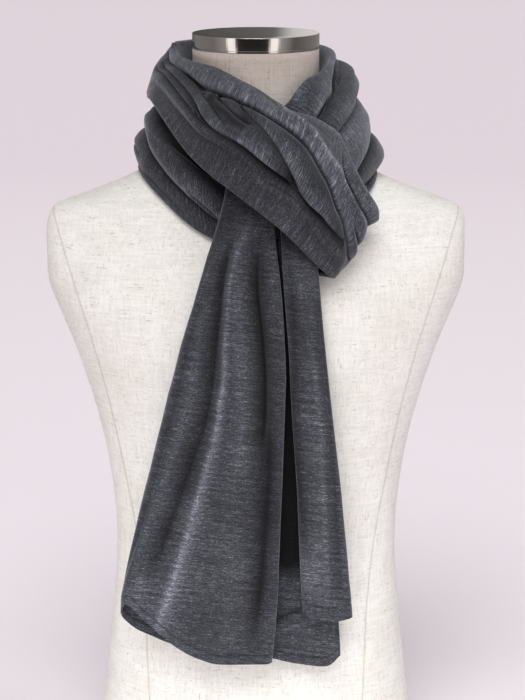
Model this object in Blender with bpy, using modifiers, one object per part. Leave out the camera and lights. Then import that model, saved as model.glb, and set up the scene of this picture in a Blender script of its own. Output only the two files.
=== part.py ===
"""A wool scarf looped round the neck of a limbless dress form.

The scarf is one long cloth folded in half. The folded end makes a pleated band across the front, turns at
the lower right and returns behind the tails, which are pulled through it. Every stretch of the wrap is a
sheet with a wall: a table gives its sections round the neck, another its folds, and the wall is added last.

Lengths in the tables are millimetres, angles are degrees. The front looks along -Y, azimuth 0 is the front
and 90 is the right of the picture, and the flat underside of the form stands at z = 0.
"""

import math
from collections import namedtuple

import bpy
import numpy as np
from mathutils import Vector
from mathutils.bvhtree import BVHTree

MM = 0.001
MERGE = 0.0001

WALL = 1.8
SEAM_GAP = 0.3
AIR = 0.9
NECK_TOP = 709.0
NECK_TILT = math.radians(4.0)
TILT_FROM = 645.0
ARMHOLE_X = 205.5
CAP_RADIUS = 62.0
CAP_HEIGHT = 14.5
CAP_DOME = 1.0
CAP_EDGE = 0.7
CAP_GROOVE = 1.4
GROOVE_DEPTH = 2.5

# The tails: how far the rolled edge turns in, and its roundness beside that of the outer fold.
TUCK = 7.0
ROLL_SHARE = 0.42

# The folds: the width of cloth that carries their full depth, the softness of a trough's bottom, and the
# share of the width beside each edge that stays plain.
FULL_WIDTH = 95.0
SOFT_BOTTOM = 1.5
PLAIN_EDGE = 0.06

# A row of a table is about 50 mm of cloth where a seam is; this share of one at each end leaves its gap.
SEAM_SHARE = SEAM_GAP / 50

# A point is lifted off the piece beneath it where that is near and faces it.
LIFT_REACH = 40.0
LIFT_SIDEWAYS = 1.5

# The form: a level outline at each height. Roundness 2 is an ellipse, more is squarer.
Ring = namedtuple("Ring", "height half_width front back roundness")
FORM_RINGS = (
    Ring(0, 163, 103, 110, 2.2),
    Ring(43, 158.5, 101, 106, 2.2),
    Ring(92, 151, 97, 100, 2.2),
    Ring(163, 144.5, 93, 92, 2.2),
    Ring(203, 141, 92, 88, 2.2),
    Ring(245, 141.5, 93, 86, 2.2),
    Ring(296, 147, 97, 88, 2.2),
    Ring(350, 158.5, 103, 93, 2.25),
    Ring(400, 174, 109, 99, 2.3),
    Ring(441, 189, 110, 103, 2.3),
    Ring(478, 207, 102, 104, 2.35),
    Ring(512, 214, 89, 103, 2.35),
    Ring(540, 212, 77, 99, 2.35),
    Ring(556, 203, 71, 94, 2.3),
    Ring(564, 180, 68, 91, 2.2),
    Ring(575, 150, 66, 87, 2.1),
    Ring(588, 120, 65, 82, 2.0),
    Ring(602, 92, 64, 76, 2.0),
    Ring(620, 73, 63, 69, 2.0),
    Ring(645, 65, 62, 64, 2.0),
    Ring(675, 62.5, 62, 62, 2.0),
    Ring(NECK_TOP, 62, 62, 62, 2.0),
)

# A section across the cloth: the azimuths of its upper and lower edges, then (radius, height) of the
# hidden inner edge, the crest, two places on the outside and the lower edge.
Section = namedtuple("Section", "az_top az_low inner crest upper lower hem")

UPPER_SECTIONS = (
    Section(12, 31, (99, 600), (99, 592), (103, 585), (107, 574), (111, 560)),
    Section(15, 35, (90, 631), (91, 624), (98, 619), (105, 609), (111, 597)),
    Section(18, 39, (79, 654), (81, 648), (92, 644), (103, 637), (112, 627)),
    Section(37, 49, (68, 666), (75, 679), (87, 672), (102, 657), (112, 643)),
    Section(57, 60, (66, 674), (72, 691), (85, 680), (99, 666), (107, 651)),
    Section(88, 88, (66, 686), (75, 708), (85, 698), (95, 688), (100, 672)),
    Section(122, 122, (68, 686), (77, 713), (89, 706), (99, 694), (103, 672)),
    Section(160, 160, (70, 686), (80, 714), (92, 707), (102, 694), (106, 673)),
    Section(195, 195, (72, 686), (82, 714), (94, 707), (103, 694), (106, 674)),
    Section(228, 228, (72, 686), (84, 714), (96, 708), (104, 696), (106, 675)),
)

BAND_SECTIONS = (
    Section(228, 228, (72, 686), (84, 714), (96, 708), (104, 696), (106, 675)),
    Section(252, 250, (72, 686), (83, 710), (94, 705), (102, 696), (104, 676)),
    Section(272, 268, (69, 684), (78, 703), (88, 698), (98, 690), (102, 677)),
    Section(288, 283, (66, 682), (73, 700), (84, 694), (96, 685), (102, 675)),
    Section(311, 298, (65, 679), (71, 696), (84, 687), (99, 671), (106, 656)),
    Section(329, 316, (65, 676), (71, 692), (90, 678), (108, 654), (112, 635)),
    Section(348, 332, (66, 667), (73, 682), (100, 668), (122, 638), (122, 609)),
    Section(366, 346, (73, 657), (80, 669), (111, 656), (133, 623), (128, 590)),
    Section(379, 356, (88, 647), (93, 655), (124, 643), (142, 607), (133, 574)),
    Section(391, 367.5, (108, 643), (112, 646), (136, 629), (149, 591), (137, 554)),
    Section(398, 376.5, (124, 634), (128, 628), (145, 608), (153, 570), (138, 534)),
    Section(401, 383, (138, 607), (140, 600), (149, 584), (153, 548), (139, 518)),
    Section(404, 388.5, (147, 584), (149, 577), (154, 564), (154, 533), (140, 507)),
    Section(408, 392.5, (153, 566), (154, 559), (155, 549), (151, 522), (138, 500)),
    Section(411.5, 395.5, (148, 556), (148, 550), (147, 541), (141, 516), (131, 498)),
    Section(412.5, 396, (134, 553), (134, 547), (132, 538), (128, 515), (122, 498)),
    Section(409, 392, (119, 558), (119, 552), (119, 541), (117, 518), (115, 500)),
    Section(402, 386, (107, 566), (108, 560), (109, 547), (112, 522), (112, 503)),
)

LOWER_SECTIONS = (
    Section(350, 372, (113, 613), (114, 606), (117, 598), (120, 584), (122, 566)),
    Section(368, 389, (113, 616), (114, 609), (119, 601), (123, 587), (124, 568)),
    Section(398, 407, (117, 622), (117, 615), (121, 607), (125, 592), (126, 570)),
    Section(409, 417, (95, 638), (102, 637), (115, 623), (124, 600), (124, 573)),
    Section(424, 430, (88, 651), (97, 650), (111, 634), (125, 606), (119, 578)),
    Section(450, 450, (82, 672), (90, 667), (105, 652), (127, 610), (117, 592)),
    Section(488, 488, (83, 677), (91, 669), (107, 653), (118, 622), (110, 600)),
    Section(520, 520, (84, 678), (92, 670), (108, 654), (116, 620), (107, 596)),
    Section(555, 555, (84, 678), (92, 670), (108, 654), (116, 620), (107, 596)),
    Section(590, 590, (84, 678), (92, 670), (108, 654), (119, 620), (110, 598)),
    Section(628, 628, (80, 676), (89, 669), (107, 651), (124, 618), (114, 598)),
    Section(648, 648, (80, 670), (90, 661), (110, 638), (120, 604), (111, 580)),
    Section(662, 662, (85, 654), (95, 644), (112, 616), (114, 586), (102, 562)),
    Section(682, 682, (90, 634), (100, 625), (112, 598), (111, 570), (98, 544)),
    Section(700, 700, (89, 612), (97, 609), (106, 586), (106, 556), (96, 532)),
    Section(720, 719, (84, 590), (90, 592), (95, 574), (98, 546), (97, 522)),
    Section(741, 736, (92, 583), (94, 576), (99, 560), (103, 534), (105, 510)),
    Section(761.2, 745.2, (109, 566), (109, 560), (110, 547), (113, 522), (114, 503)),
)

# A fold: where it begins and ends along its sheet and how soon it fades in (shares of the length), its
# depth (negative for a ridge), its steep and gentle run-outs, and where it lies across (shares of the
# width) at even steps along the sheet.
Fold = namedtuple("Fold", "begin end fade depth steep gentle across")

BAND_FOLDS = (
    Fold(0.12, 0.90, 0.20, 14, 4, 14, (0.56, 0.55, 0.46, 0.44, 0.36, 0.28, 0.38, 0.46, 0.56, 0.62)),
    Fold(0.40, 0.84, 0.10, 9, 4, 14, (0.40, 0.40, 0.40, 0.40, 0.40, 0.42, 0.62, 0.70, 0.66, 0.66)),
    Fold(0.28, 0.50, 0.10, 9, 4, 11, (0.42, 0.42, 0.42, 0.42, 0.46, 0.44, 0.42, 0.42, 0.42, 0.42)),
    Fold(0.02, 0.42, 0.12, 7, 4, 9, (0.64, 0.64, 0.62, 0.60, 0.64, 0.66, 0.66, 0.66, 0.66, 0.66)),
    Fold(0.06, 0.64, 0.16, 10, 4, 13, (0.76, 0.76, 0.74, 0.72, 0.72, 0.68, 0.71, 0.73, 0.73, 0.73)),
    Fold(0.20, 0.50, 0.12, 6, 5, 13, (0.88, 0.88, 0.88, 0.86, 0.84, 0.80, 0.78, 0.78, 0.78, 0.78)),
)
UPPER_FOLDS = (
    Fold(0.02, 0.80, 0.15, 9, 4, 12, (0.40, 0.44, 0.50, 0.52, 0.54, 0.54)),
    Fold(0.02, 0.95, 0.15, 8, 4, 9, (0.62, 0.66, 0.72, 0.70, 0.68, 0.70)),
    Fold(0.40, 0.98, 0.15, 5, 4, 10, (0.80, 0.82, 0.84, 0.84, 0.82, 0.82)),
)
LOWER_FOLDS = (
    Fold(0.02, 0.40, 0.08, 10, 4, 13, (0.48, 0.52, 0.60, 0.60, 0.60, 0.60)),
    Fold(0.04, 0.34, 0.08, 6, 4, 8, (0.74, 0.84, 0.86, 0.86, 0.86, 0.86)),
    Fold(0.30, 0.60, 0.12, 7, 5, 14, (0.56, 0.56, 0.48, 0.44, 0.42, 0.42)),
    Fold(0.44, 0.94, 0.10, 11, 4, 12, (0.62, 0.62, 0.62, 0.64, 0.64, 0.62)),
    Fold(0.60, 0.90, 0.10, 6, 4, 9, (0.42, 0.42, 0.42, 0.44, 0.46, 0.44)),
)

# A level cut of a tail: the free edge of its rear layer, the fold at its outer side, the rolled edge of its
# front layer, and the depths of both layers.
TailCut = namedtuple("TailCut", "height free_x fold_x roll_x rear front")
LONG_TAIL_CUTS = (
    TailCut(590, 6, -26, 8, 99, 109),
    TailCut(560, 12, -33, 15, 101, 113),
    TailCut(520, 22, -46, 18, 104, 118),
    TailCut(470, 32, -61, 24, 109.4, 125),
    TailCut(435, 38, -72, 27, 110.9, 129),
    TailCut(390, 45, -84, 28, 111, 131),
    TailCut(317, 57, -102, 26, 111, 132),
    TailCut(260, 66, -116, 24, 111, 132),
    TailCut(210, 73, -127, 23, 111, 132),
    TailCut(165, 80, -130, 20, 111, 132),
    TailCut(110, 83, -131, 14, 111, 132),
)
SHORT_TAIL_CUTS = (
    TailCut(566, 26, 50, 19, 104, 114),
    TailCut(540, 30, 54, 23, 107, 118),
    TailCut(495, 33, 60, 26, 111, 122),
    TailCut(435, 38, 65.5, 30.5, 116, 128),
    TailCut(364, 42, 73, 34, 117, 129),
    TailCut(296, 47, 81, 39, 117, 129),
    TailCut(207, 52, 89.5, 43.5, 117, 129),
    TailCut(160, 55, 94, 46.5, 117, 129),
)

# A hem: the height of the lower edge at each place across, on the rear layer and on the front one.
Hem = namedtuple("Hem", "x height")
LONG_REAR_HEM = (
    Hem(-131, 178), Hem(-100, 156), Hem(-60, 136), Hem(17, 126), Hem(36, 121), Hem(84, 117),
)
LONG_FRONT_HEM = (
    Hem(-131, 180), Hem(-122, 174), Hem(-108, 165), Hem(-91, 148), Hem(-75, 139), Hem(-44, 126),
    Hem(14, 126),
)
SHORT_REAR_HEM = (Hem(46, 178), Hem(62, 173), Hem(94, 171))
SHORT_FRONT_HEM = (Hem(46, 175), Hem(62, 169), Hem(78, 168), Hem(94, 170))

LONG_TAIL_FOLDS = (
    Fold(0.04, 1.00, 0.15, -9, 16, 22, (0.60, 0.62, 0.66, 0.66, 0.62, 0.62)),
    Fold(0.10, 0.92, 0.20, 9, 10, 14, (0.80, 0.81, 0.82, 0.82, 0.84, 0.82)),
    Fold(0.25, 1.00, 0.25, 5, 14, 20, (0.52, 0.52, 0.54, 0.55, 0.54, 0.54)),
)
SHORT_TAIL_FOLDS = (Fold(0.15, 0.95, 0.2, 2.5, 3, 8, (0.50, 0.50, 0.56, 0.58, 0.62, 0.64)),)

# A stretch of the wrap: its table and folds, the fractional rows of the table where it begins and ends, the
# rows and columns of its faces, and the pieces that it lies on. They are laid in this order.
Stretch = namedtuple("Stretch", "name sections folds first last rows columns over")
STRETCHES = (
    Stretch("under_wrap", LOWER_SECTIONS, LOWER_FOLDS, 9, 17, 30, 14, ("dress_form",)),
    Stretch("lower_back", LOWER_SECTIONS, LOWER_FOLDS, 7, 9, 10, 14, ("dress_form",)),
    Stretch("upper_right", UPPER_SECTIONS, UPPER_FOLDS, 0, 7, 24, 14, ("dress_form", "under_wrap")),
    Stretch("upper_back", UPPER_SECTIONS, UPPER_FOLDS, 7, 9, 10, 14, ("dress_form",)),
    Stretch("lower_right", LOWER_SECTIONS, LOWER_FOLDS, 0, 7, 24, 14, ("dress_form",)),
    Stretch("front_band", BAND_SECTIONS, BAND_FOLDS, 0, 17, 54, 22, ("dress_form",)),
)

# A tail: its cuts, hems and folds, which way its front layer runs, and the rows and columns of its faces.
Tail = namedtuple("Tail", "name cuts rear_hem front_hem folds side rows columns")
TAILS = (
    Tail("tail_long", LONG_TAIL_CUTS, LONG_REAR_HEM, LONG_FRONT_HEM, LONG_TAIL_FOLDS, -1, 14, 34),
    Tail("tail_short", SHORT_TAIL_CUTS, SHORT_REAR_HEM, SHORT_FRONT_HEM, SHORT_TAIL_FOLDS, 1, 12, 20),
)
FORM_ROWS = 28
FORM_COLUMNS = 36
CAP_STEPS = 40

# Points on the curves that the faces are spaced along.
FINE = 240
TAIL_LEVELS = 60
FOLD_POINTS = 24
EDGE_POINTS = 16
DENSE = 12


def clear_scene():
    """Removes what the file holds, so that the script starts from nothing."""
    for thing in list(bpy.data.objects):
        bpy.data.objects.remove(thing, do_unlink=True)


def material(name, colour, roughness, metallic=0.0):
    """A plain finish: colour in linear red, green and blue."""
    finish = bpy.data.materials.new(name)
    finish.use_nodes = True
    shader = finish.node_tree.nodes["Principled BSDF"]
    shader.inputs["Base Color"].default_value = (*colour, 1.0)
    shader.inputs["Roughness"].default_value = roughness
    shader.inputs["Metallic"].default_value = metallic
    finish.diffuse_color = (*colour, 1.0)
    return finish


def spline(rows, steps):
    """A smooth curve through the rows of a table, read at fractional row numbers."""
    rows = np.asarray(rows, float)
    steps = np.clip(np.asarray(steps, float), 0, len(rows) - 1)
    index = np.minimum(steps.astype(int), len(rows) - 2)
    share = (steps - index).reshape(-1, *([1] * (rows.ndim - 1)))
    slopes = np.gradient(rows, axis=0)
    start, end = rows[index], rows[index + 1]
    leave, arrive = slopes[index], slopes[index + 1]
    square, cube = share**2, share**3
    return (
        start * (2 * cube - 3 * square + 1)
        + leave * (cube - 2 * square + share)
        + end * (3 * square - 2 * cube)
        + arrive * (cube - square)
    )


def even(line, count):
    """Points at even distances along a fine polyline, with the polyline's length."""
    pieces = np.linalg.norm(np.diff(line, axis=0), axis=1)
    length = np.concatenate(([0.0], np.cumsum(pieces)))
    places = np.linspace(0, length[-1], count)
    return np.stack([np.interp(places, length, line[:, k]) for k in range(3)], axis=1), length[-1]


def ring_sheet(stretch):
    """A stretch of the wrap as a grid of points, the width of each row and its place along the table.

    One more row lies past each end, so that the folds meet those of the next stretch at a seam.
    """
    begin, end = stretch.first + SEAM_SHARE, stretch.last - SEAM_SHARE
    spacing = (end - begin) / (stretch.rows - 1)
    steps = np.linspace(begin - spacing, end + spacing, stretch.rows + 2)
    profiles = spline([s[2:] for s in stretch.sections], steps)
    turns = spline([[s.az_top, s.az_low] for s in stretch.sections], steps)
    across = np.linspace(0, 4, FINE)
    slant = np.clip((across - 1) / 3, 0, 1)
    grid = np.zeros((len(steps), stretch.columns, 3))
    widths = np.zeros(len(steps))
    for row, (profile, (top, low)) in enumerate(zip(profiles, turns)):
        radius, height = spline(profile, across).T
        azimuth = np.radians(top + (low - top) * slant)
        line = np.stack([radius * np.sin(azimuth), -radius * np.cos(azimuth), height], axis=1)
        grid[row], widths[row] = even(line, stretch.columns)
    return grid, widths, steps / (len(stretch.sections) - 1)


def arc(centre_x, centre_y, radius, start, end, count):
    """Points of a level arc, from one angle to another."""
    angles = np.linspace(start, end, count)
    return np.stack([centre_x + radius * np.cos(angles), centre_y + radius * np.sin(angles)], axis=1)


def tail_outline(cut):
    """The level outline of a tail: rear layer, outer fold, front layer and rolled edge, as a line."""
    rear, front = -cut.rear, -cut.front
    side = 1 if cut.fold_x > cut.free_x else -1
    bend = (rear - front) / 2
    roll = bend * ROLL_SHARE
    quarter, half_turn = math.pi / 2, side * math.pi
    fold_x = cut.fold_x - side * bend
    edge_x = cut.roll_x + side * roll
    fold = arc(fold_x, (rear + front) / 2, bend, quarter, quarter - half_turn, FOLD_POINTS)
    edge = arc(edge_x, front + roll, roll, -quarter, -quarter - half_turn, EDGE_POINTS)
    start = [[cut.free_x, rear]]
    tuck = [[edge_x + side * TUCK, front + 2 * roll]]
    return np.vstack([start, fold, edge, tuck])


def tail_sheet(tail):
    """A tail as a grid: each thread across the outline runs down to its own place on the hem."""
    heights = np.array([cut.height for cut in tail.cuts], float)
    levels = np.linspace(heights[0], heights[-1], TAIL_LEVELS)
    places = np.interp(-levels, -heights, np.arange(len(heights)))
    outlines = []
    for level, row in zip(levels, spline([cut[1:] for cut in tail.cuts], places)):
        line = tail_outline(TailCut(level, *row))
        flat = np.column_stack([line, np.full(len(line), level)])
        dense = [np.linspace(a, b, DENSE, endpoint=False) for a, b in zip(flat, flat[1:])]
        outlines.append(even(np.vstack([*dense, flat[-1:]]), tail.columns)[0])
    outlines = np.array(outlines)
    middle = -(tail.cuts[-1].rear + tail.cuts[-1].front) / 2
    shares = np.linspace(0, 1, tail.rows)
    grid = np.zeros((tail.rows, tail.columns, 3))
    for column in range(tail.columns):
        x, y = outlines[:, column, 0], outlines[:, column, 1]
        hem = tail.rear_hem if y[-1] > middle else tail.front_hem
        bottom = np.interp(x[-1], [h.x for h in hem], [h.height for h in hem])
        level = heights[0] + (bottom - heights[0]) * shares
        grid[:, column, 0] = np.interp(-level, -levels, x)
        grid[:, column, 1] = np.interp(-level, -levels, y)
        grid[:, column, 2] = level
    widths = np.linalg.norm(np.diff(grid, axis=1), axis=2).sum(axis=1)
    return grid, widths, shares


def normals(grid):
    """Unit normals of a grid, pointing away from the neck's side of the sheet."""
    along = np.gradient(grid, axis=0)
    across = np.gradient(grid, axis=1)
    normal = np.cross(across, along)
    return normal / np.maximum(np.linalg.norm(normal, axis=2, keepdims=True), 1e-9)


def crease(grid, widths, along, folds, side=1):
    """Sinks the folds into a sheet as troughs, steep towards its upper edge and gentle below."""
    normal = normals(grid) * side
    columns = np.linspace(0, 1, grid.shape[1])
    trough = np.zeros(grid.shape[:2])
    ridge = np.zeros(grid.shape[:2])
    for fold in folds:
        knots = np.linspace(0, 1, len(fold.across))
        place = np.interp(along, knots, fold.across)
        fade_in = np.clip((along - fold.begin) / fold.fade + (fold.begin <= 0), 0, 1)
        fade_out = np.clip((fold.end - along) / fold.fade + (fold.end >= 1), 0, 1)
        strength = fold.depth * np.sin(fade_in * math.pi / 2) * np.sin(fade_out * math.pi / 2)
        strength = strength * np.minimum(1, widths / FULL_WIDTH)
        distance = (columns[None, :] - place[:, None]) * widths[:, None]
        run = np.where(distance < 0, fold.steep, fold.gentle)
        soft = np.sqrt(distance**2 + SOFT_BOTTOM**2) - SOFT_BOTTOM
        shape = strength[:, None] * np.exp(-soft / run)
        trough = np.maximum(trough, shape)
        ridge = np.minimum(ridge, shape)
    edge = np.sin(np.clip(np.minimum(columns, 1 - columns) / PLAIN_EDGE, 0, 1) * math.pi / 2)
    return grid - normal * ((trough + ridge) * edge[None, :])[:, :, None]


def faces_of(rows, columns):
    """Quads of a grid whose normals agree with normals()."""
    quads = []
    for row in range(rows - 1):
        for column in range(columns - 1):
            corner = row * columns + column
            quads.append((corner, corner + 1, corner + columns + 1, corner + columns))
    return quads


def surface(points, faces):
    """A surface that cloth can be lifted off; its normals point away from the form."""
    return BVHTree.FromPolygons([Vector(p) for p in points], faces)


def lift(grid, beneath, clearance):
    """Moves each point out until it lies clear of every surface beneath it."""
    flat = grid.reshape(-1, 3).copy()
    for tree in beneath:
        for number, point in enumerate(flat):
            hit, normal, _, distance = tree.find_nearest(Vector(point), LIFT_REACH)
            if hit is None:
                continue
            height = float((point - np.array(hit)) @ np.array(normal))
            sideways = math.sqrt(max(distance**2 - height**2, 0.0))
            if height < clearance and sideways < LIFT_SIDEWAYS:
                flat[number] = point + np.array(normal) * (clearance - height)
    return flat.reshape(grid.shape)


def new_object(name, points, faces, finish, collection):
    """A mesh object in metres from points in millimetres."""
    data = bpy.data.meshes.new(name)
    data.from_pydata([tuple(c * MM for c in p) for p in points], [], faces)
    data.update()
    data.shade_smooth()
    data.materials.append(finish)
    made = bpy.data.objects.new(name, data)
    collection.objects.link(made)
    return made


def cloth(name, grid, finish, collection, side=1):
    """A sheet of cloth: the grid as its outer face and a wall of even thickness behind it."""
    made = new_object(name, grid.reshape(-1, 3), faces_of(*grid.shape[:2]), finish, collection)
    wall = made.modifiers.new("wall", "SOLIDIFY")
    wall.thickness = WALL * MM
    wall.offset = -side


def form_point(ring, angle):
    """A point of a level outline of the form."""
    power = 2 / ring.roundness
    cosine, sine = math.cos(angle), math.sin(angle)
    depth = ring.back if sine > 0 else ring.front
    x = ring.half_width * math.copysign(abs(cosine) ** power, cosine)
    x = max(-ARMHOLE_X, min(ARMHOLE_X, x))
    y = depth * math.copysign(abs(sine) ** power, sine)
    tilt = np.clip((ring.height - TILT_FROM) / (NECK_TOP - TILT_FROM), 0, 1) * math.tan(NECK_TILT)
    return (x, y, ring.height + y * tilt)


def make_form(finish, collection):
    """The limbless form: level outlines lofted from the flat underside to the neck's top."""
    rings = [Ring(*row) for row in spline(FORM_RINGS, np.linspace(0, len(FORM_RINGS) - 1, FORM_ROWS))]
    turns = np.linspace(0, 2 * math.pi, FORM_COLUMNS, endpoint=False)
    points = [form_point(ring, turn) for ring in rings for turn in turns]
    faces = []
    for row in range(FORM_ROWS - 1):
        for column in range(FORM_COLUMNS):
            beside = (column + 1) % FORM_COLUMNS
            low, high = row * FORM_COLUMNS, (row + 1) * FORM_COLUMNS
            faces.append((low + column, low + beside, high + beside, high + column))
    walls = list(faces)
    faces.append(tuple(reversed(range(FORM_COLUMNS))))
    faces.append(tuple((FORM_ROWS - 1) * FORM_COLUMNS + column for column in range(FORM_COLUMNS)))
    made = new_object("dress_form", points, faces, finish, collection)
    made.data.set_sharp_from_angle(angle=math.radians(50))
    return points, walls


def make_cap(finish, collection):
    """The steel cap: a turned disc with a shadow groove under its band and a slightly domed top."""
    inner = CAP_RADIUS - GROOVE_DEPTH
    profile = (
        (0, CAP_HEIGHT + CAP_DOME),
        (CAP_RADIUS / 2, CAP_HEIGHT + CAP_DOME * 3 / 4),
        (CAP_RADIUS - CAP_EDGE, CAP_HEIGHT),
        (CAP_RADIUS, CAP_HEIGHT - CAP_EDGE),
        (CAP_RADIUS, CAP_GROOVE + CAP_EDGE / 2),
        (CAP_RADIUS - CAP_EDGE / 2, CAP_GROOVE),
        (inner, CAP_GROOVE),
        (inner, 0),
        (0, 0),
    )
    points = [(x * MM, 0, z * MM) for x, z in profile]
    data = bpy.data.meshes.new("neck_cap")
    data.from_pydata(points, [(k, k + 1) for k in range(len(points) - 1)], [])
    data.materials.append(finish)
    made = bpy.data.objects.new("neck_cap", data)
    collection.objects.link(made)
    turn = made.modifiers.new("turn", "SCREW")
    turn.steps = CAP_STEPS
    turn.render_steps = CAP_STEPS
    turn.use_merge_vertices = True
    turn.merge_threshold = MERGE
    made.location = (0, 0, (NECK_TOP + SEAM_GAP) * MM)
    made.rotation_euler = (NECK_TILT, 0, 0)


def main():
    """Builds the form, then the cloth from the layer next to the form outwards."""
    clear_scene()
    collection = bpy.data.collections.new("scarf_on_form")
    bpy.context.scene.collection.children.link(collection)
    wool = material("grey_wool", (0.095, 0.107, 0.125), 0.95)
    linen = material("natural_linen", (0.80, 0.76, 0.68), 0.9)
    steel = material("polished_steel", (0.62, 0.61, 0.58), 0.2, 1.0)

    surfaces = {"dress_form": surface(*make_form(linen, collection))}
    make_cap(steel, collection)
    for stretch in STRETCHES:
        grid, widths, along = ring_sheet(stretch)
        grid = crease(grid, widths, along, stretch.folds)[1:-1]
        grid = lift(grid, [surfaces[name] for name in stretch.over], WALL + AIR)
        surfaces[stretch.name] = surface(grid.reshape(-1, 3), faces_of(*grid.shape[:2]))
        cloth(stretch.name, grid, wool, collection)
    for tail in TAILS:
        grid, widths, along = tail_sheet(tail)
        cloth(tail.name, crease(grid, widths, along, tail.folds, tail.side), wool, collection, tail.side)


main()
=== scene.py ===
"""Dresses a wool scarf looped round a limbless display form: finishes, creased cloth, light and camera.

Tables are in millimetres and degrees, meshes in metres. The front looks along -Y, azimuth 0 is the front and
90 is the right of the picture.
"""

import logging
import math
from collections.abc import Callable
from dataclasses import dataclass
from enum import Enum
from typing import NamedTuple

import bpy
import numpy as np
from bpy.types import ID, Material, Node, NodeSocket, NodeTree, Object
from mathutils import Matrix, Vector
from mathutils.bvhtree import BVHTree


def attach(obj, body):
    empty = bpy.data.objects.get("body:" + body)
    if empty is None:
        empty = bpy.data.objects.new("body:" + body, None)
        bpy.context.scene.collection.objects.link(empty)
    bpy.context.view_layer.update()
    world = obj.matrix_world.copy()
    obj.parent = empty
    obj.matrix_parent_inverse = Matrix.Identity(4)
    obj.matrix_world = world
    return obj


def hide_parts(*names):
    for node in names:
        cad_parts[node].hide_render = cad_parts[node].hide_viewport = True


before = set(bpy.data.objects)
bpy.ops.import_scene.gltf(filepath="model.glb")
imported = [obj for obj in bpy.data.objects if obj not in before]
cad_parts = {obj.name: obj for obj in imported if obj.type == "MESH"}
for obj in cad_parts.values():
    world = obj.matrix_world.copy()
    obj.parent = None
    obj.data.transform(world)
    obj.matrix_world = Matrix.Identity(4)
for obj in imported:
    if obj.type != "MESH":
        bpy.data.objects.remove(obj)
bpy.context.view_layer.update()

LOG = logging.getLogger("scarf")
MM = 0.001
BODY = "root"
# The ripples' random lattice repeats after this many points, and the cloth starts this far into it.
LATTICE_SIZE = 128
LATTICE_START = 40.0
# Points along a crease's smoothed path, and the farthest from the form that cloth is kept clear of it.
PATH_STEPS = 200
NEAR = 30.0


class Slot(Enum):
    """The record's material slots."""

    WOOL = "grey_wool"
    LINEN = "natural_linen"
    STEEL = "polished_steel"


class Spot(NamedTuple):
    """A place on a section across the cloth: distance from the neck's axis, and height."""

    radius: float
    height: float


class Section(NamedTuple):
    """A section across a wrap: the azimuths of its two edges, and five places from edge to edge."""

    az_top: float
    az_low: float
    inner: Spot
    crest: Spot
    upper: Spot
    lower: Spot
    hem: Spot


UPPER_SECTIONS = tuple(Section(*row) for row in (
    (12, 31, (99, 600), (99, 592), (103, 585), (107, 574), (111, 560)),
    (15, 35, (90, 631), (91, 624), (98, 619), (105, 609), (111, 597)),
    (18, 39, (79, 654), (81, 648), (92, 644), (103, 637), (110, 630)),
    (37, 49, (68, 666), (75, 679), (87, 672), (102, 658), (113, 645)),
    (57, 60, (66, 673), (71, 686), (85, 677), (100, 667), (108, 654)),
    (88, 88, (66, 684), (74, 700), (86, 691), (97, 686), (102, 673)),
    (122, 122, (68, 686), (77, 710), (89, 704), (99, 694), (103, 674)),
    (160, 160, (70, 686), (80, 714), (92, 707), (102, 694), (106, 673)),
    (195, 195, (72, 686), (82, 714), (94, 707), (103, 694), (106, 674)),
    (228, 228, (72, 686), (84, 714), (96, 708), (104, 694), (108, 671)),
    (252, 250, (72, 686), (83, 710), (94, 704), (103, 691), (108, 665)),
    (272, 268, (69, 684), (78, 703), (88, 697), (100, 687), (108, 662)),
    (288, 283, (66, 682), (73, 700), (84, 694), (97, 684), (106, 666)),
    (311, 298, (65, 679), (71, 696), (84, 687), (99, 671), (106, 656)),
    (329, 316, (65, 676), (71, 692), (90, 678), (108, 654), (112, 635)),
    (348, 332, (66, 667), (73, 682), (100, 668), (122, 638), (122, 609)),
    (366, 346, (73, 657), (80, 669), (111, 656), (133, 623), (128, 590)),
    (379, 356, (88, 647), (93, 655), (124, 643), (142, 607), (133, 574)),
    (391, 367.5, (108, 643), (112, 646), (136, 629), (149, 591), (137, 554)),
    (398, 376.5, (124, 634), (128, 628), (145, 608), (153, 570), (138, 534)),
    (401, 383, (138, 607), (140, 600), (149, 584), (153, 548), (139, 518)),
    (404, 388.5, (147, 584), (149, 577), (154, 564), (154, 533), (140, 507)),
    (408, 392.5, (153, 566), (154, 559), (155, 549), (151, 522), (138, 500)),
    (411.5, 395.5, (148, 556), (148, 550), (147, 541), (141, 516), (131, 498)),
    (412.5, 396, (134, 553), (134, 547), (132, 538), (128, 515), (122, 498)),
    (409, 392, (119, 558), (119, 552), (119, 541), (117, 518), (115, 500)),
    (402, 386, (107, 566), (108, 560), (109, 547), (112, 522), (112, 503)),
))

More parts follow.
